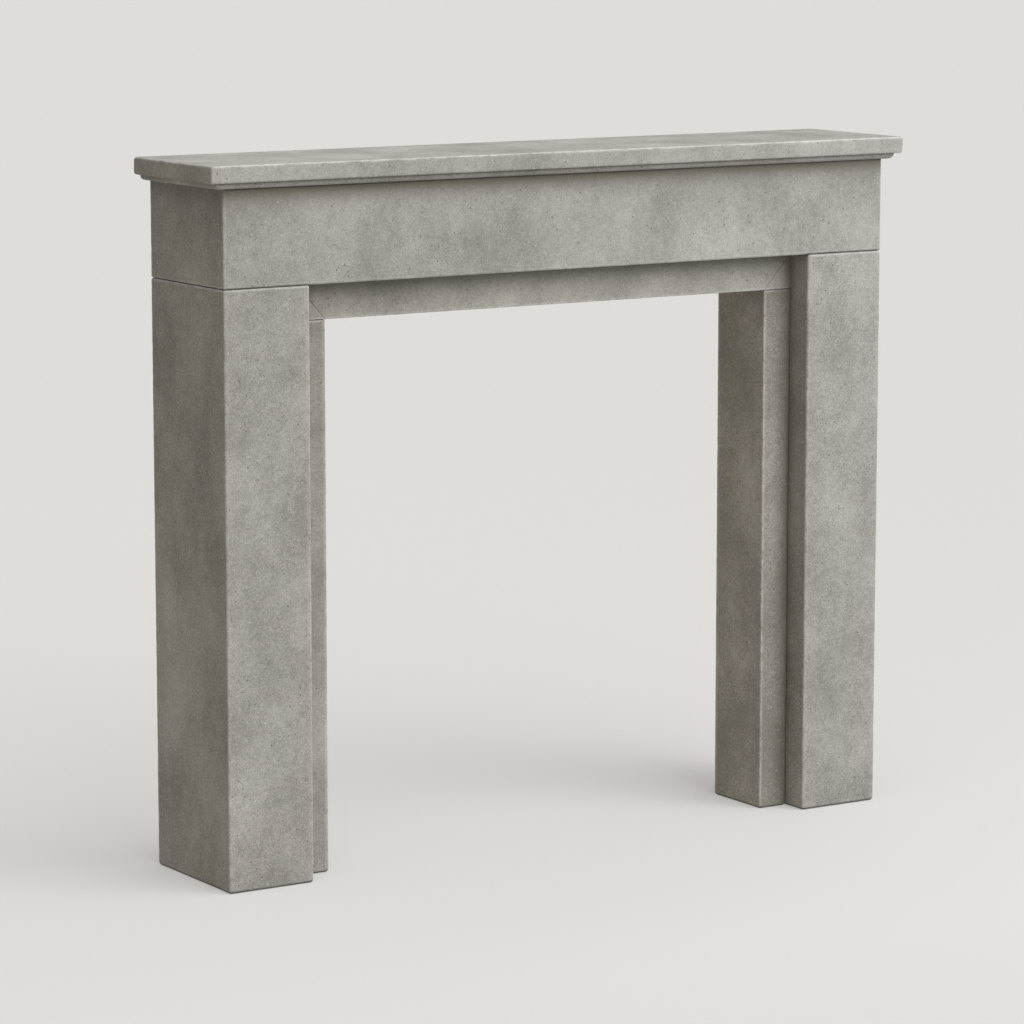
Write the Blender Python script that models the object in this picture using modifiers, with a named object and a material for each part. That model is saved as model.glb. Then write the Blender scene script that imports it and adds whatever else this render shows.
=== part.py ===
"""A plain square fireplace mantelpiece of cast stone.

Two legs carry a frieze block, a thin shelf with a quarter-round bed moulding lies on the
frieze, and three narrow slips line the fire opening between the legs.

Metres, +Z up. The front faces -Y and the left leg is at -X. The backs of shelf, frieze and
legs lie in one plane, which meets the wall. The origin is on the floor, below the middle
of the shelf.
"""

import math

import bmesh
import bpy
from mathutils import Vector

# Body: the frieze and the outer faces of the legs share its width and depth
BODY_WIDTH = 1.300
BODY_DEPTH = 0.246

# Legs and frieze
LEG_WIDTH = 0.156
LEG_HEIGHT = 0.979
FRIEZE_HEIGHT = 0.159

# Slips that line the fire opening
SLIP_WIDTH = 0.057
SLIP_HEAD_HEIGHT = 0.063
SLIP_DEPTH = 0.137
SLIP_SETBACK = 0.050

# Shelf slab
SHELF_THICKNESS = 0.0285
SHELF_FRONT_OVERHANG = 0.021
SHELF_END_OVERHANG = 0.031

# Quarter-round bed moulding under the slab
MOULDING_HEIGHT = 0.010
MOULDING_FRONT_PROJECTION = 0.011
MOULDING_END_PROJECTION = 0.018
MOULDING_RADIUS = 0.008

# Radii of the worn arrises
CORNER_ARRIS = 0.004
BED_ARRIS = 0.0034
FOOT_ARRIS = 0.0050
SLIP_ARRIS = 0.003
SLIP_JOINT_ARRIS = 0.0018
SLAB_TOP_ARRIS = 0.004
SLAB_BOTTOM_ARRIS = 0.0028
MOULDING_CORNER_ARRIS = 0.0015
ARRIS_SEGMENTS = 4

# Scored mitre line on the head slip: its width at the face, and how far past the corners
# of the face the bar that cuts it runs, as a share of the line's length
SCORE_WIDTH = 0.0016
SCORE_RUN_OUT = 0.25

# Dry joints between the pieces
JOINT_GAP = 0.0003

# Levels and planes that several pieces share
OPENING_HEIGHT = LEG_HEIGHT - SLIP_HEAD_HEIGHT
FRIEZE_TOP = LEG_HEIGHT + FRIEZE_HEIGHT
SLAB_BOTTOM = FRIEZE_TOP + MOULDING_HEIGHT
SHELF_DEPTH = BODY_DEPTH + SHELF_FRONT_OVERHANG
SHELF_LENGTH = BODY_WIDTH + 2 * SHELF_END_OVERHANG
BACK_Y = SHELF_DEPTH / 2
BODY_FRONT_Y = BACK_Y - BODY_DEPTH
SLIP_FRONT_Y = BODY_FRONT_Y + SLIP_SETBACK
LEG_INNER_X = BODY_WIDTH / 2 - LEG_WIDTH
OPENING_X = LEG_INNER_X - SLIP_WIDTH

# The stone, and how light each kind of piece is against it
STONE_ROUGHNESS = 0.85
STONE_COLOUR = (0.370, 0.358, 0.335)
SHELF_TONE = 1.05
FRIEZE_TONE = 0.98
LEG_TONE = 1.0
SLIP_TONE = 0.95

# Faces that meet at more than this angle are shaded with a crisp edge between them
CRISP_ANGLE = math.radians(40)

# A face looks along an axis where its normal's share of that axis is above this
FACING = 0.5


def clear_scene():
    """Removes every object, so that the script can run again in the same file."""
    for obj in list(bpy.data.objects):
        bpy.data.objects.remove(obj, do_unlink=True)


def new_collection(name):
    """A collection of that name, linked to the scene."""
    collection = bpy.data.collections.new(name)
    bpy.context.scene.collection.children.link(collection)
    return collection


def stone(name, tone):
    """Matt cast stone, with the grey made lighter or darker by tone."""
    material = bpy.data.materials.new(name)
    material.use_nodes = True
    shader = material.node_tree.nodes["Principled BSDF"]
    colour = [channel * tone for channel in STONE_COLOUR]
    shader.inputs["Base Color"].default_value = (*colour, 1.0)
    shader.inputs["Roughness"].default_value = STONE_ROUGHNESS
    shader.inputs["Metallic"].default_value = 0.0
    material.diffuse_color = (*colour, 1.0)
    return material


def arris_kind(edge):
    """Where an edge of a block lies: along its top or bottom, or upright, and if at the back."""
    normals = [face.normal for face in edge.link_faces]
    place = "back_" if any(normal.y > FACING for normal in normals) else ""
    if any(normal.z > FACING for normal in normals):
        return place + "top"
    if any(normal.z < -FACING for normal in normals):
        return place + "bottom"
    return place + "upright"


def block(name, low, high, collection, **radii):
    """A squared stone between two corners.

    radii gives the arris radius of the upright, top and bottom edges, and of those at the
    back as back_upright and so on. Edges that are not named stay sharp, as sawn.
    """
    size = Vector(high) - Vector(low)
    shape = bmesh.new()
    bmesh.ops.create_cube(shape, size=1.0)
    bmesh.ops.scale(shape, vec=size, verts=shape.verts)
    bmesh.ops.translate(shape, vec=(0.0, 0.0, size.z / 2), verts=shape.verts)
    shape.normal_update()
    widest = max(radii.values())
    weight = shape.edges.layers.float.new("bevel_weight_edge")
    for edge in shape.edges:
        edge[weight] = radii.get(arris_kind(edge), 0.0) / widest
    mesh = bpy.data.meshes.new(name)
    shape.to_mesh(mesh)
    shape.free()
    obj = bpy.data.objects.new(name, mesh)
    obj.location = ((low[0] + high[0]) / 2, (low[1] + high[1]) / 2, low[2])
    collection.objects.link(obj)
    bevel = obj.modifiers.new("arrises", "BEVEL")
    bevel.limit_method = "WEIGHT"
    bevel.width = widest
    bevel.segments = ARRIS_SEGMENTS
    return obj


def make_helper(obj):
    """Keeps a cutter, or a shape that another piece takes in, out of the model itself."""
    obj.hide_render = True
    obj.display_type = "WIRE"


def combine(obj, other, operation):
    """Joins another shape to a piece, or cuts it out of the piece."""
    boolean = obj.modifiers.new(other.name, "BOOLEAN")
    boolean.operation = operation
    boolean.object = other


def finish(obj, material, parent):
    """Gives a piece its stone, rounds the shading of its arrises and hangs it on the parent."""
    obj.data.materials.append(material)
    obj.data.shade_smooth()
    obj.data.set_sharp_from_angle(angle=CRISP_ANGLE)
    obj.parent = parent


def make_leg(name, side, pieces):
    """One square leg; side is -1 on the left and 1 on the right."""
    edges = sorted((side * LEG_INNER_X, side * BODY_WIDTH / 2))
    return block(
        name,
        (edges[0], BODY_FRONT_Y, 0.0),
        (edges[1], BACK_Y, LEG_HEIGHT - JOINT_GAP),
        pieces,
        upright=CORNER_ARRIS,
        top=BED_ARRIS,
        bottom=FOOT_ARRIS,
    )


def make_frieze(pieces):
    """The header block across both legs."""
    return block(
        "frieze",
        (-BODY_WIDTH / 2, BODY_FRONT_Y, LEG_HEIGHT),
        (BODY_WIDTH / 2, BACK_Y, FRIEZE_TOP - JOINT_GAP),
        pieces,
        upright=CORNER_ARRIS,
        bottom=BED_ARRIS,
    )


def make_slip(name, side, pieces):
    """One upright slip against the inner face of a leg."""
    edges = sorted((side * OPENING_X, side * (LEG_INNER_X - JOINT_GAP)))
    return block(
        name,
        (edges[0], SLIP_FRONT_Y, 0.0),
        (edges[1], SLIP_FRONT_Y + SLIP_DEPTH, OPENING_HEIGHT - JOINT_GAP),
        pieces,
        upright=SLIP_ARRIS,
        top=SLIP_JOINT_ARRIS,
        bottom=FOOT_ARRIS,
    )


def make_mitre_score(name, side, helpers):
    """A square bar laid on its edge, which cuts a V groove across one corner of the face."""
    inner = Vector((side * OPENING_X, SLIP_FRONT_Y, OPENING_HEIGHT))
    outer = Vector((side * LEG_INNER_X, SLIP_FRONT_Y, LEG_HEIGHT))
    run = outer - inner
    shape = bmesh.new()
    bmesh.ops.create_cone(
        shape,
        cap_ends=True,
        segments=4,
        radius1=SCORE_WIDTH / 2,
        radius2=SCORE_WIDTH / 2,
        depth=run.length * (1 + 2 * SCORE_RUN_OUT),
    )
    mesh = bpy.data.meshes.new(name)
    shape.to_mesh(mesh)
    shape.free()
    obj = bpy.data.objects.new(name, mesh)
    obj.location = (inner + outer) / 2
    obj.rotation_euler = (0.0, side * math.atan2(abs(run.x), run.z), 0.0)
    helpers.objects.link(obj)
    return obj


def make_head_slip(pieces, helpers):
    """The slip under the frieze, with a mitre line scored across both corners."""
    head = block(
        "slip_head",
        (-LEG_INNER_X + JOINT_GAP, SLIP_FRONT_Y, OPENING_HEIGHT),
        (LEG_INNER_X - JOINT_GAP, SLIP_FRONT_Y + SLIP_DEPTH, LEG_HEIGHT - JOINT_GAP),
        pieces,
        bottom=SLIP_JOINT_ARRIS,
    )
    for name, side in (("score_left", -1), ("score_right", 1)):
        score = make_mitre_score(name, side, helpers)
        make_helper(score)
        combine(head, score, "DIFFERENCE")
    return head


def make_shelf(pieces, helpers):
    """The slab and its bed moulding, cast as one; the slab is eased all round."""
    slab = block(
        "shelf",
        (-SHELF_LENGTH / 2, BACK_Y - SHELF_DEPTH, SLAB_BOTTOM),
        (SHELF_LENGTH / 2, BACK_Y, SLAB_BOTTOM + SHELF_THICKNESS),
        pieces,
        upright=CORNER_ARRIS,
        back_upright=CORNER_ARRIS,
        top=SLAB_TOP_ARRIS,
        back_top=SLAB_TOP_ARRIS,
        bottom=SLAB_BOTTOM_ARRIS,
        back_bottom=SLAB_BOTTOM_ARRIS,
    )
    half_length = BODY_WIDTH / 2 + MOULDING_END_PROJECTION
    moulding = block(
        "bed_moulding",
        (-half_length, BODY_FRONT_Y - MOULDING_FRONT_PROJECTION, FRIEZE_TOP),
        (half_length, BACK_Y, SLAB_BOTTOM + SHELF_THICKNESS / 2),
        helpers,
        upright=MOULDING_CORNER_ARRIS,
        bottom=MOULDING_RADIUS,
    )
    make_helper(moulding)
    combine(slab, moulding, "UNION")
    return slab


def build():
    clear_scene()
    pieces = new_collection("mantelpiece")
    helpers = new_collection("cutters")
    stand = bpy.data.objects.new("mantelpiece_origin", None)
    pieces.objects.link(stand)
    finish(make_leg("leg_left", -1, pieces), stone("leg_left_stone", LEG_TONE), stand)
    finish(make_leg("leg_right", 1, pieces), stone("leg_right_stone", LEG_TONE), stand)
    finish(make_frieze(pieces), stone("frieze_stone", FRIEZE_TONE), stand)
    finish(make_slip("slip_left", -1, pieces), stone("slip_left_stone", SLIP_TONE), stand)
    finish(make_slip("slip_right", 1, pieces), stone("slip_right_stone", SLIP_TONE), stand)
    finish(make_head_slip(pieces, helpers), stone("slip_head_stone", SLIP_TONE), stand)
    finish(make_shelf(pieces, helpers), stone("shelf_stone", SHELF_TONE), stand)


build()
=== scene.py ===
import math
from itertools import product

import bmesh
import bpy
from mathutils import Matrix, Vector, noise


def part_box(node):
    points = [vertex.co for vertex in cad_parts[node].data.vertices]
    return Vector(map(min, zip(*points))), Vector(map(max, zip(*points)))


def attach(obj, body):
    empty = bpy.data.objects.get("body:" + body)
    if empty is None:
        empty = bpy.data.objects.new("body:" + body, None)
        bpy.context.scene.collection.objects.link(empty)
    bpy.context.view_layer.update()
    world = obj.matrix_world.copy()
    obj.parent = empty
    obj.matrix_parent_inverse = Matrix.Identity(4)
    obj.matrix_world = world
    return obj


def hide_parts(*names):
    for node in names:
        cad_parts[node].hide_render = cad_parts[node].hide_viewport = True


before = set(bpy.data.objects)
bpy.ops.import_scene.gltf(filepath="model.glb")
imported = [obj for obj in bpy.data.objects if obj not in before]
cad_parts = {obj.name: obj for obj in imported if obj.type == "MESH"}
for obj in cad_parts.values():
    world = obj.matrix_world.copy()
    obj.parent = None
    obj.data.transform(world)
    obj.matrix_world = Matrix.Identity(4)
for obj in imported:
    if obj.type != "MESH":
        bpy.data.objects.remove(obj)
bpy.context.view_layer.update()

# The cuts that divide a stone's faces, in metres: the step along its length and how long an edge
# is divided so, the zone at each end that the mitre lines lie in, and the steps across it
STEP_ALONG = 0.0026
LONG_EDGE = 0.3
END_ZONE = 0.065
STEP_ACROSS = 0.008
STEP_AT_ARRIS = 0.002
ARRIS_BAND = 0.008
WELD = 1e-5
ON_PLANE = 1e-6
FLAT_ANGLE = math.radians(1)

# Wear, in metres: how far in from an arris it reaches, and how deep nicks, chips, worn corners
# and the unevenness of the flats go
WEAR_BAND = 0.005
NICK_DEPTH = 0.0006
CHIP_DEPTH = 0.0020
FOOT_CORNER_DEPTH = 0.0012
SLAB_CORNER_DEPTH = 0.0013
BED_CORNER_DEPTH = 0.0005
CORNER_SPREAD = 5.0
SLAB_THICKNESS = 0.0285
UNDULATION = 0.00025
FLOOR_CONTACT = 1e-5

# Fineness of the wear per metre, and how rare nicks and chips are
LONG_WAVE = 11.0
SHORT_WAVE = 47.0
NICKS = 105.0
CHIPS = 38.0
NICK_RARITY = 0.12
CHIP_RARITY = 0.42

# Where each stone's wear and patterns start, for each step of its number
WEAR_START = (3.1, 5.7, 1.9)
PATTERN_START = (1.37, 2.11, 0.73)

# Painted shade and dirt, in metres: how far stones that stand out shelter a face, which is
# darkened as painted shade, how far the dirt of a joint and the painted shade at the floor
# spread, how near a stone counts as touching, and how high the fronts are darkened
SHELTER_REACHES = (0.008, 0.016, 0.032)
SHELF_SHELTER_REACHES = (0.020, 0.030, 0.042)
SHELTER_PROBE = 0.020
LEVEL = 1e-4
JOINT_REACH = 0.0030
SLIP_JOINT_REACH = 0.0015
FOOT_SHADE_REACH = 0.0050
TOUCHING = 0.01
DARKENED_HEIGHT = 0.35

# How much further the dirt of a joint spreads on an underside, and less far on a top; how
# strongly a hollow is marked; and below which upward share of the normal a face is an underside
JOINT_DOWNWARD = 0.65
HOLLOW_GAIN = 5.0
UNDERSIDE = -0.95

# How much painted light lightens the tops, how much darker the foot of the fronts is made, how
# much painted shade darkens the head of the sides, and between which heights it does so on the
# sides
TOP_PAINTED_LIGHT = 0.09
FRONT_FOOT_DARKENING = 0.07
SIDE_PAINTED_SHADE = 0.08
SIDE_SHADE_HEIGHTS = (0.50, 1.05)

# Faces that meet at more than this angle are shaded with a crisp edge between them
CRISP_ANGLE = math.radians(40)

# The camera of the photograph: place in metres, angles in degrees, lens in millimetres
CAMERA_PLACE = (-3.828, -5.951, 1.647)
CAMERA_YAW = 32.48
CAMERA_PITCH = 8.76
CAMERA_LENS = 148.3
SENSOR_WIDTH = 36.0
FARTHEST_SEEN = 300.0

# Very broad far lamps: azimuth, elevation and spread in degrees, and strength. Azimuth 0 is the
# front and 90 the right.
LAMPS = {
    "key": (20.0, 44.0, 62.0, 0.66),
    "overhead": (15.0, 68.0, 110.0, 1.08),
}

# Square near lamps: place and side in metres, and power in watts; and what they are turned to
SOFTBOXES = {
    "softbox_right": ((1.35, -1.75, 1.25), 0.8, 7.0),
    "softbox_near": ((1.20, -0.85, 1.45), 0.5, 2.3),
}
SOFTBOX_TARGET = (0.60, -0.11, 1.0)
SOFTBOX_COLOUR = (0.95, 1.0, 1.10)

# The even light of the room, and half the width of the floor in metres
ROOM_COLOUR = (1.0, 0.94, 0.84)
ROOM_STRENGTH = 0.02
FLOOR_HALF_WIDTH = 90.0

# Linear colours
STONE_DARK = (0.155, 0.146, 0.128)
STONE_LIGHT = (0.445, 0.430, 0.400)
STONE_WORN = (0.56, 0.55, 0.52)
STONE_PIT = (0.10, 0.093, 0.082)
STONE_PAINTED_SHADE = (0.101, 0.088, 0.066)
JOINT_DIRT_AND_FOOT_SHADE = (0.050, 0.043, 0.034)
FLOOR_COLOUR = (0.2955, 0.289, 0.2775)
FLOOR_GLOW = (0.301, 0.2945, 0.283)
BACKDROP_COLOUR = (0.735, 0.722, 0.690)

# Share of each colour that a stone keeps (the slips a touch warmer), and what its sideways faces
# keep of that,
# which is painted light: a warmer cast on all the sides, and much more light on the slips'
# reveals
PLAIN_TINT_AND_SIDE_LIGHT = ((1.0, 1.0, 1.0), (1.05, 1.02, 0.965))
SLIP_TINT_AND_SIDE_LIGHT = ((1.0, 0.986, 0.960), (1.42, 1.38, 1.318))

# The patterns in the stone: fineness per metre, layers of finer detail, and their roughness.
# Drift and clouds are drawn out upwards.
UPRIGHT = (1.0, 1.0, 0.75)
DRIFT = (3.2, 1.0, 0.5)
CLOUDS = (9.0, 2.0, 0.55)
CLUSTERS = (16.0, 1.0, 0.5)
MOTTLE = (45.0, 2.0, 0.6)
BROKEN = (60.0, 4.0, 0.65)
SPECKLE = (200.0, 2.0, 0.6)
GRAIN = (640.0, 2.0, 0.7)

# Scattered spots: cells per metre, radius as a share of a cell, and the share of cells used
PITS = (95.0, 0.19, 0.50)
GRIT = (280.0, 0.34, 0.34)
SPECKS = (150.0, 0.20, 0.25)
SPOT_MARGIN = 0.02

# The stone's shade between its dark and its light colour, and how far each pattern moves it
SHADE = 0.307
DRIFT_SHADE = 0.44
CLOUD_SHADE = 0.70
MOTTLE_SHADE = 0.30
SPECKLE_SHADE = 0.48
GRAIN_SHADE = 1.38

# How strongly each mark covers the stone
PIT_COVER = 0.78
GRIT_COVER = 0.44
SPECK_COVER = 0.40
WORN_COVER = 0.52
GROOVE_COVER = 0.85
JOINT_COVER = 0.70
FOOT_SHADE_COVER = 0.96

# Painted shade on sheltered faces: its least share, how much the clouds add, and how much less is
# on the sides
SHELTER_LEAST = 0.80
SHELTER_CLOUDS = 0.5
SHELTER_ASIDE = 0.7

# Between which values of their patterns the pits cluster and the worn arrises break up, between
# which values of the hollow mark a groove or crease takes its painted shade, and how worn an
# arris is where it breaks up
CLUSTER_RANGE = (0.38, 0.56)
BROKEN_RANGE = (0.36, 0.62)
GROOVE_RANGE = (0.0, 0.6)
WORN_LEAST = 0.25

# Roughness, and how far the speckle and the worn arrises move it
ROUGHNESS = 0.86
SPECKLE_ROUGHNESS = 0.2
WORN_SMOOTHNESS = 0.08
SPECULAR = 0.35

# The height of the fine relief from each pattern, and its strength and depth in metres
MOTTLE_RELIEF = 0.2
SPECKLE_RELIEF = 0.42
GRAIN_RELIEF = 0.35
PIT_RELIEF = 0.9
BUMP_STRENGTH = 0.55
BUMP_DEPTH = 0.0010

# Each stone: its number, how much lighter it is, which on the slips partly stands in for light
# and shade, its tint and painted side light, and how far its joints' dirt reaches
STONES = {
    "shelf": (1, 0.04, PLAIN_TINT_AND_SIDE_LIGHT, JOINT_REACH),
    "frieze": (2, 0.01, PLAIN_TINT_AND_SIDE_LIGHT, JOINT_REACH),
    "leg_left": (3, 0.01, PLAIN_TINT_AND_SIDE_LIGHT, JOINT_REACH),
    "leg_right": (4, 0.0, PLAIN_TINT_AND_SIDE_LIGHT, JOINT_REACH),
    "slip_left": (5, -0.05, SLIP_TINT_AND_SIDE_LIGHT, SLIP_JOINT_REACH),
    "slip_right": (6, -0.15, SLIP_TINT_AND_SIDE_LIGHT, SLIP_JOINT_REACH),
    "slip_head": (7, 0.16, SLIP_TINT_AND_SIDE_LIGHT, SLIP_JOINT_REACH),
}


class Number:
    """One value of a material's node tree, which Python arithmetic can be written with."""

    def __init__(self, surface, socket):
        self.surface = surface
        self.socket = socket

    def __add__(self, other):
        return self.surface.math("ADD", self, other)

    def __sub__(self, other):
        return self.surface.math("SUBTRACT", self, other)

    def __rsub__(self, other):
        return self.surface.math("SUBTRACT", other, self)

    def __mul__(self, other):
        return self.surface.math("MULTIPLY", self, other)

    __radd__ = __add__
    __rmul__ = __mul__


class Surface:
    """A material under construction; each method adds a node and gives back its output."""

    def __init__(self, name):
        self.material = bpy.data.materials.new(name)
        self.material.use_nodes = True
        self.tree = self.material.node_tree
        self.shader = self.tree.nodes["Principled BSDF"]

    def node(self, kind, settings, values, output=0):
        """Adds a node, with its settings first, then the values and links of its sockets."""
        node = self.tree.nodes.new(kind)
        for name, setting in settings.items():
            setattr(node, name, setting)
        for key, value in values.items():
            self.connect(node.inputs[key], value)
        return Number(self, node.outputs[output])

    def connect(self, socket, value):
        if isinstance(value, Number):
            self.tree.links.new(value.socket, socket)
        else:
            socket.default_value = value

    def math(self, operation, *values):
        return self.node("ShaderNodeMath", {"operation": operation}, dict(enumerate(values)))

    def blend(self, factor, first, second):
        """A colour between two others."""
        return self.node(
            "ShaderNodeMix", {"data_type": "RGBA"}, {0: factor, 6: first, 7: second}, output=2
        )

    def tinted(self, colour, tint):
        """A colour of which each channel is multiplied by its share."""
        return self.node("ShaderNodeVectorMath", {"operation": "MULTIPLY"}, {0: colour, 1: tint})

    def ramp(self, value, start, end):
        """0 below start and 1 above end, smooth between; start may be the larger."""
        return self.node(
            "ShaderNodeMapRange",
            {"interpolation_type": "SMOOTHSTEP"},
            {0: value, 1: start, 2: end, 3: 0.0, 4: 1.0},
        )

    def noise(self, place, scale, detail, roughness):
        return self.node(
            "ShaderNodeTexNoise",
            {"noise_dimensions": "3D"},
            {"Vector": place, "Scale": scale, "Detail": detail, "Roughness": roughness},
        )

    def attribute(self, name):
        """A value kept at each point of the mesh."""
        return self.node("ShaderNodeAttribute", {"attribute_name": name}, {}, output=2)

    def spots(self, place, scale, radius, share):
        """1 inside small round spots that are scattered at random, and 0 between them."""
        values = {"Vector": place, "Scale": scale}
        distance = self.node("ShaderNodeTexVoronoi", {}, values)
        chance = self.node("ShaderNodeTexVoronoi", {}, values, output=1)
        chance = self.node("ShaderNodeSeparateColor", {}, {0: chance})
        chosen = self.ramp(chance, share, share - SPOT_MARGIN)
        return self.ramp(distance, radius, radius / 2) * chosen


def opaque(colour):
    return (*colour, 1.0)


def cast_stone(name, shift, tone, tint_and_side_light):
    """Matt cast stone: cloudy mottling, sandy speckle, pinholes and paler worn arrises."""
    stone = Surface(name)
    place = stone.node("ShaderNodeTexCoord", {}, {}, output=3)
    height = stone.node("ShaderNodeSeparateXYZ", {}, {0: place}, output=2)
    place = stone.node("ShaderNodeVectorMath", {"operation": "ADD"}, {0: place, 1: shift})
    tall = stone.node(
        "ShaderNodeVectorMath", {"operation": "MULTIPLY"}, {0: place, 1: UPRIGHT}
    )

    aside = stone.attribute("aside")
    drift = stone.noise(tall, *DRIFT)
    clouds = stone.noise(tall, *CLOUDS)
    mottle = stone.noise(place, *MOTTLE)
    speckle = stone.noise(place, *SPECKLE)
    grain = stone.noise(place, *GRAIN)
    shade = (
        SHADE
        + (drift - 0.5) * DRIFT_SHADE
        + (clouds - 0.5) * CLOUD_SHADE
        + (mottle - 0.5) * MOTTLE_SHADE
        + (speckle - 0.5) * SPECKLE_SHADE
        + (grain - 0.5) * GRAIN_SHADE
        # Painted light: the tops are lightened
        + stone.attribute("upward") * TOP_PAINTED_LIGHT
        # The fronts are darker towards their foot
        - stone.ramp(height, DARKENED_HEIGHT, 0.0) * (1.0 - aside) * FRONT_FOOT_DARKENING
        # Painted shade: the sides are darkened towards their head
        - stone.ramp(height, *SIDE_SHADE_HEIGHTS) * aside * SIDE_PAINTED_SHADE
        # Each stone's tone, which on the slips partly stands in for light and shade
        + tone
    )
    colour = stone.blend(shade, opaque(STONE_DARK), opaque(STONE_LIGHT))

    clusters = stone.ramp(stone.noise(place, *CLUSTERS), *CLUSTER_RANGE)
    pits = stone.spots(place, *PITS) * clusters
    colour = stone.blend(pits * PIT_COVER, colour, opaque(STONE_PIT))
    grit = stone.spots(place, *GRIT)
    colour = stone.blend(grit * GRIT_COVER, colour, opaque(STONE_PIT))
    specks = stone.spots(place, *SPECKS)
    colour = stone.blend(specks * SPECK_COVER, colour, opaque(STONE_WORN))

    colour = stone.tinted(colour, tint_and_side_light[0])
    # Painted light: sideways faces get a warm cast, and the slips' reveals much more light
    colour = stone.blend(aside, colour, stone.tinted(colour, tint_and_side_light[1]))

    # Painted shade: faces that stones standing out shelter are darkened, less so on the sides
    sheltered = stone.attribute("shelter")
    overhang_shade = sheltered * (SHELTER_LEAST + clouds * SHELTER_CLOUDS) * (1.0 - aside * SHELTER_ASIDE)
    colour = stone.blend(overhang_shade, colour, opaque(STONE_PAINTED_SHADE))
    broken = stone.ramp(stone.noise(place, *BROKEN), *BROKEN_RANGE)
    open_arris = stone.attribute("arris") * (1.0 - sheltered)
    worn = open_arris * (WORN_LEAST + broken * (1.0 - WORN_LEAST))
    colour = stone.blend(worn * WORN_COVER, colour, opaque(STONE_WORN))
    # Painted shade in grooves and creases, such as the mitre lines and where the moulding meets
    # the slab
    groove = stone.ramp(stone.attribute("hollow"), *GROOVE_RANGE)
    colour = stone.blend(groove * GROOVE_COVER, colour, opaque(STONE_PAINTED_SHADE))
    joint = stone.attribute("joint") * (1.0 - aside)
    colour = stone.blend(joint * JOINT_COVER, colour, opaque(JOINT_DIRT_AND_FOOT_SHADE))
    # Painted shade: a dark contact line along the foot, where the stone meets the floor
    colour = stone.blend(stone.attribute("foot") * FOOT_SHADE_COVER, colour, opaque(JOINT_DIRT_AND_FOOT_SHADE))

    rough = ROUGHNESS + (speckle - 0.5) * SPECKLE_ROUGHNESS - worn * WORN_SMOOTHNESS
    relief = (
        (mottle - 0.5) * MOTTLE_RELIEF
        + (speckle - 0.5) * SPECKLE_RELIEF
        + (grain - 0.5) * GRAIN_RELIEF
        - pits * PIT_RELIEF
    )
    bump = stone.node(
        "ShaderNodeBump",
        {},
        {"Strength": BUMP_STRENGTH, "Distance": BUMP_DEPTH, "Height": relief},
    )
    stone.connect(stone.shader.inputs["Base Color"], colour)
    stone.connect(stone.shader.inputs["Roughness"], rough)
    stone.connect(stone.shader.inputs["Normal"], bump)
    stone.shader.inputs["Specular IOR Level"].default_value = SPECULAR
    return stone.material


def plain_floor():
    floor = Surface("floor_paper")
    floor.shader.inputs["Base Color"].default_value = opaque(FLOOR_COLOUR)
    floor.shader.inputs["Roughness"].default_value = 1.0
    floor.shader.inputs["Specular IOR Level"].default_value = 0.0
    floor.shader.inputs["Emission Color"].default_value = opaque(FLOOR_GLOW)
    floor.shader.inputs["Emission Strength"].default_value = 1.0
    return floor.material


def graded(low, high):
    """Places between two ends, close together near both ends and wide apart between."""
    places = []
    place = low + STEP_AT_ARRIS
    while place < high:
        places.append(place)
        near_end = min(place - low, high - place) < ARRIS_BAND
        place += STEP_AT_ARRIS if near_end else STEP_ACROSS
    return places


def near_ends(low, high):
    """Places close together in the zone at each end, where the mitre lines lie."""
    count = round(END_ZONE / STEP_ALONG)
    steps = [END_ZONE * index / count for index in range(1, count + 1)]
    return [low + step for step in steps] + [high - step for step in reversed(steps)]


def slice_along(shape, axis, places):
    """Cuts the shape by planes square to an axis. Each cut meets only what lies past the last."""
    normal = Vector((0.0, 0.0, 0.0))
    normal[axis] = 1.0
    beyond = [*shape.verts, *shape.edges, *shape.faces]
    for place in places:
        cut = bmesh.ops.bisect_plane(
            shape, geom=beyond, dist=ON_PLANE, plane_co=normal * place, plane_no=normal
        )
        beyond = []
        for part in cut["geom"]:
            verts = [part] if isinstance(part, bmesh.types.BMVert) else part.verts
            if max(vert.co[axis] for vert in verts) > place - ON_PLANE:
                beyond.append(part)


def divide_along(shape, axis):
    """Divides the long faces between the end zones at an even step."""
    long_edges = [
        edge
        for edge in shape.edges
        if abs(edge.verts[0].co[axis] - edge.verts[1].co[axis]) > LONG_EDGE
    ]
    longest = max(edge.calc_length() for edge in long_edges)
    bmesh.ops.subdivide_edges(
        shape, edges=long_edges, cuts=round(longest / STEP_ALONG), use_grid_fill=True
    )


def edge_distance(point, low, high):
    """How far a point on a block's surface is from the block's nearest arris."""
    gaps = []
    for axis in range(3):
        gaps.append(min(abs(point[axis] - low[axis]), abs(high[axis] - point[axis])))
    return sorted(gaps)[1]


def box_gap(first, second):
    """How far two boxes are apart; 0 where they meet. A point is a box of no size."""
    gaps = []
    for axis in range(3):
        gaps.append(max(second[0][axis] - first[1][axis], first[0][axis] - second[1][axis], 0.0))
    return math.hypot(*gaps)


def touching_boxes(node):
    """The boxes of the other stones that a stone is laid against."""
    boxes = [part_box(other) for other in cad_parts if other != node]
    return [box for box in boxes if box_gap(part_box(node), box) < TOUCHING]


def shelter_at(vert, neighbours, gaps, reaches):
    """How far stones that stand out beside a point keep light off it, from 0 to 1; the stone is
    darkened by this as painted shade.
    """
    near = [pair for pair in zip(neighbours, gaps) if pair[1] < max(reaches)]
    total = 0.0
    for reach in reaches:
        probe = vert.co + vert.normal * min(reach, SHELTER_PROBE)
        nearest = reach
        for box, gap in near:
            probe_gap = box_gap((probe, probe), box)
            if probe_gap < gap + LEVEL:
                nearest = min(nearest, probe_gap)
        total += 1.0 - nearest / reach
    return total / len(reaches)


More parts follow.
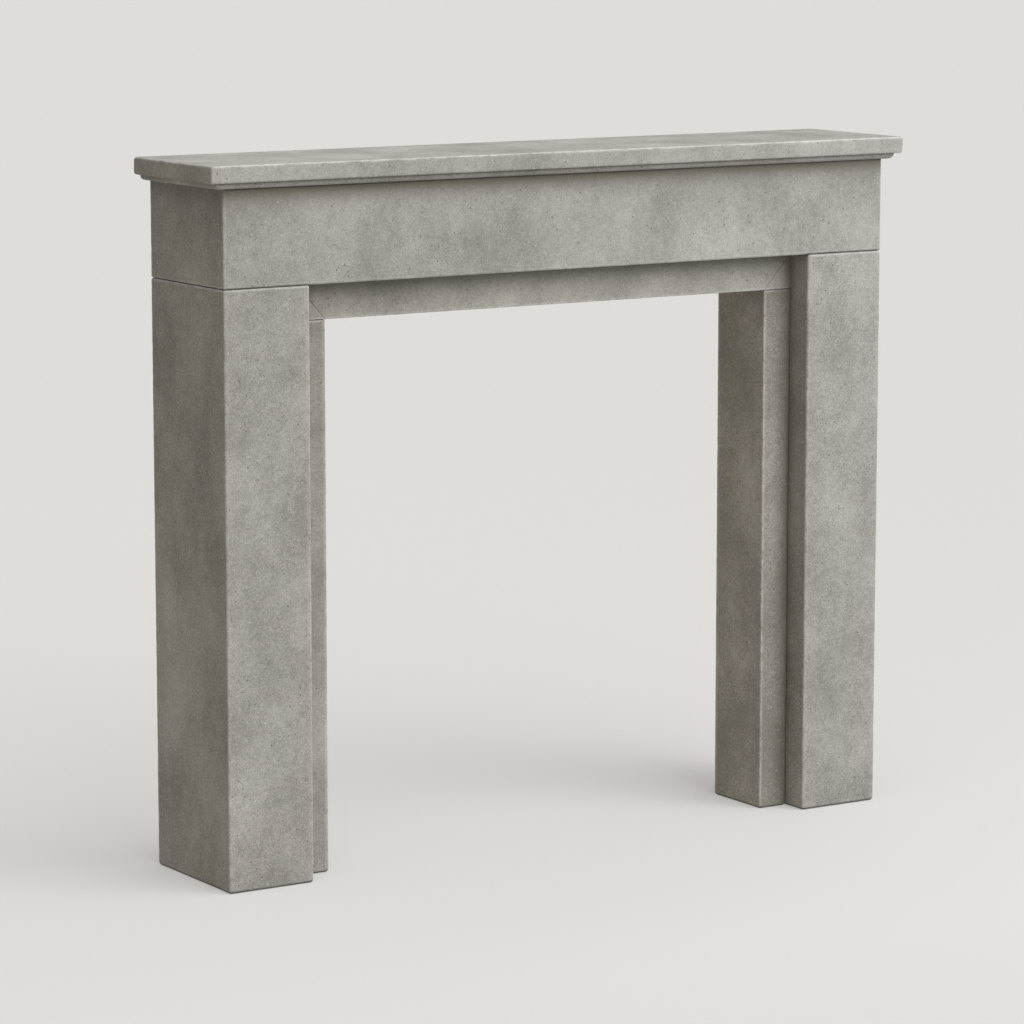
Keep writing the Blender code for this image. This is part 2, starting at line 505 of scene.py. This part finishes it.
def hollow_slope(vert):
    """How steeply the surface rises around a point; 0 where it is flat or falls away."""
    rise = sum((edge.other_vert(vert).co - vert.co for edge in vert.link_edges), Vector())
    length = sum(edge.calc_length() for edge in vert.link_edges)
    return max(0.0, rise.dot(vert.normal) / length)


def mark_places(shape, neighbours, joint_reach, reaches):
    """Marks each point's place: in a groove, in a joint, beside other stones, aside or on top."""
    layers = shape.verts.layers.float
    names = ("hollow", "joint", "foot", "shelter", "aside", "upward")
    hollow, joint, foot, shelter, aside, upward = [layers.new(name) for name in names]
    for vert in shape.verts:
        gaps = [box_gap((vert.co, vert.co), box) for box in neighbours]
        vert[hollow] = min(1.0, HOLLOW_GAIN * hollow_slope(vert))
        spread = joint_reach * (1.0 - JOINT_DOWNWARD * vert.normal.z)
        vert[joint] = max(0.0, 1.0 - min(gaps) / spread)
        # The foot's painted contact shade, within a little of the floor
        if vert.normal.z > UNDERSIDE:
            vert[foot] = max(0.0, 1.0 - (vert.co.z / FOOT_SHADE_REACH) ** 2)
        vert[shelter] = shelter_at(vert, neighbours, gaps, reaches)
        vert[aside] = abs(vert.normal.x)
        vert[upward] = max(0.0, vert.normal.z)


def corners_of(node):
    """The corners of a block and how deep each is worn; the slab has its own lower ones."""
    low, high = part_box(node)
    if node == "shelf":
        depths = {high[2]: SLAB_CORNER_DEPTH, high[2] - SLAB_THICKNESS: SLAB_CORNER_DEPTH}
    else:
        on_floor = low[2] < FLOOR_CONTACT
        depths = {low[2]: FOOT_CORNER_DEPTH if on_floor else BED_CORNER_DEPTH}
        depths[high[2]] = BED_CORNER_DEPTH
    places = product((low[0], high[0]), (low[1], high[1]), depths)
    return [(Vector(place), depths[place[2]]) for place in places]


def corner_wear(point, corners, middle):
    """How far a point near a corner is pushed in, towards the middle of the block."""
    nearest, depth = min(corners, key=lambda corner: (corner[0] - point).length_squared)
    share = max(0.0, 1.0 - (nearest - point).length / (depth * CORNER_SPREAD))
    inwards = Vector([math.copysign(1.0, middle[axis] - nearest[axis]) for axis in range(3)])
    return inwards.normalized() * (depth * share)


def weather(shape, node, seed):
    """Wears the corners and arrises and makes the flats slightly uneven, always inwards."""
    low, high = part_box(node)
    middle = (Vector(low) + Vector(high)) / 2
    corners = corners_of(node)
    arris = shape.verts.layers.float.new("arris")
    shift = Vector(WEAR_START) * seed
    normals = [vert.normal.copy() for vert in shape.verts]
    for vert, normal in zip(shape.verts, normals):
        point = vert.co + shift
        near = max(0.0, 1.0 - edge_distance(vert.co, low, high) / WEAR_BAND)
        vert[arris] = near
        wave = 1.0 + noise.noise(point * LONG_WAVE) + (1.0 + noise.noise(point * SHORT_WAVE)) / 2
        nick = max(0.0, noise.noise(point * NICKS) - NICK_RARITY)
        chip = max(0.0, noise.noise(point * CHIPS) - CHIP_RARITY)
        depth = UNDULATION * wave / 3 + near * (NICK_DEPTH * nick + CHIP_DEPTH * chip)
        if vert.co.z > FLOOR_CONTACT:
            vert.co += corner_wear(vert.co, corners, middle) - normal * depth


def finer_piece(node, seed, tone, tint_and_side_light, joint_reach):
    """The stone of a CAD node, cut finely enough to carry wear along its arrises."""
    low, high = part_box(node)
    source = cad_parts[node].data
    shape = bmesh.new()
    shape.from_mesh(source)
    bmesh.ops.remove_doubles(shape, verts=shape.verts, dist=WELD)
    bmesh.ops.dissolve_limit(
        shape, angle_limit=FLAT_ANGLE, verts=shape.verts, edges=shape.edges
    )
    axes = sorted(range(3), key=lambda axis: high[axis] - low[axis])
    for axis in axes[:2]:
        slice_along(shape, axis, graded(low[axis], high[axis]))
    slice_along(shape, axes[2], near_ends(low[axes[2]], high[axes[2]]))
    divide_along(shape, axes[2])
    shape.normal_update()
    reaches = SHELF_SHELTER_REACHES if node == "frieze" else SHELTER_REACHES
    mark_places(shape, touching_boxes(node), joint_reach, reaches)
    weather(shape, node, seed)
    mesh = bpy.data.meshes.new(node + "_stone")
    shape.to_mesh(mesh)
    shape.free()
    mesh.shade_smooth()
    mesh.set_sharp_from_angle(angle=CRISP_ANGLE)
    piece = bpy.data.objects.new(node + "_stone", mesh)
    bpy.context.scene.collection.objects.link(piece)
    shift = Vector(PATTERN_START) * seed
    material = cast_stone(node + "_cast_stone", shift, tone, tint_and_side_light)
    mesh.materials.clear()
    mesh.materials.append(material)
    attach(piece, "root")
    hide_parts(node)


def make_floor():
    shape = bmesh.new()
    bmesh.ops.create_grid(shape, x_segments=1, y_segments=1, size=FLOOR_HALF_WIDTH)
    mesh = bpy.data.meshes.new("floor")
    shape.to_mesh(mesh)
    shape.free()
    mesh.materials.append(plain_floor())
    floor = bpy.data.objects.new("floor", mesh)
    bpy.context.scene.collection.objects.link(floor)


def make_world():
    """A dim even room light, which the camera sees as the pale backdrop."""
    world = bpy.data.worlds.new("studio")
    bpy.context.scene.world = world
    world.use_nodes = True
    tree = world.node_tree
    room = tree.nodes["Background"]
    room.inputs["Color"].default_value = opaque(ROOM_COLOUR)
    room.inputs["Strength"].default_value = ROOM_STRENGTH
    seen = tree.nodes.new("ShaderNodeBackground")
    seen.inputs["Color"].default_value = opaque(BACKDROP_COLOUR)
    path = tree.nodes.new("ShaderNodeLightPath")
    choice = tree.nodes.new("ShaderNodeMixShader")
    tree.links.new(path.outputs["Is Camera Ray"], choice.inputs[0])
    tree.links.new(room.outputs[0], choice.inputs[1])
    tree.links.new(seen.outputs[0], choice.inputs[2])
    tree.links.new(choice.outputs[0], tree.nodes["World Output"].inputs["Surface"])


def make_lamp(name, azimuth, elevation, spread, strength):
    """A very broad far lamp; a white surface that faces it is lit to its strength."""
    lamp = bpy.data.lights.new(name, "SUN")
    lamp.energy = math.pi * strength
    lamp.angle = math.radians(spread)
    obj = bpy.data.objects.new(name, lamp)
    turn, rise = math.radians(azimuth), math.radians(elevation)
    towards = Vector(
        (math.sin(turn) * math.cos(rise), -math.cos(turn) * math.cos(rise), math.sin(rise))
    )
    obj.rotation_euler = towards.to_track_quat("Z", "Y").to_euler()
    bpy.context.scene.collection.objects.link(obj)


def make_softbox(name, place, side, power):
    """A square, slightly cool soft lamp that faces the upper right of the front."""
    lamp = bpy.data.lights.new(name, "AREA")
    lamp.shape = "SQUARE"
    lamp.size = side
    lamp.energy = power
    lamp.color = SOFTBOX_COLOUR
    obj = bpy.data.objects.new(name, lamp)
    obj.location = place
    towards = Vector(place) - Vector(SOFTBOX_TARGET)
    obj.rotation_euler = towards.to_track_quat("Z", "Y").to_euler()
    bpy.context.scene.collection.objects.link(obj)


def make_lights():
    """A soft key from the right of the front, a softer light overhead, and two near lamps."""
    for name, numbers in LAMPS.items():
        make_lamp(name, *numbers)
    for name, numbers in SOFTBOXES.items():
        make_softbox(name, *numbers)


def make_camera():
    lens = bpy.data.cameras.new("camera")
    lens.sensor_width = SENSOR_WIDTH
    lens.lens = CAMERA_LENS
    lens.clip_end = FARTHEST_SEEN
    camera = bpy.data.objects.new("camera", lens)
    camera.location = CAMERA_PLACE
    camera.rotation_euler = (math.radians(90.0 - CAMERA_PITCH), 0.0, -math.radians(CAMERA_YAW))
    bpy.context.scene.collection.objects.link(camera)
    bpy.context.scene.camera = camera


def main():
    bpy.context.scene.view_settings.view_transform = "Standard"
    make_camera()
    make_world()
    make_lights()
    make_floor()
    for node, numbers in STONES.items():
        finer_piece(node, *numbers)


main()
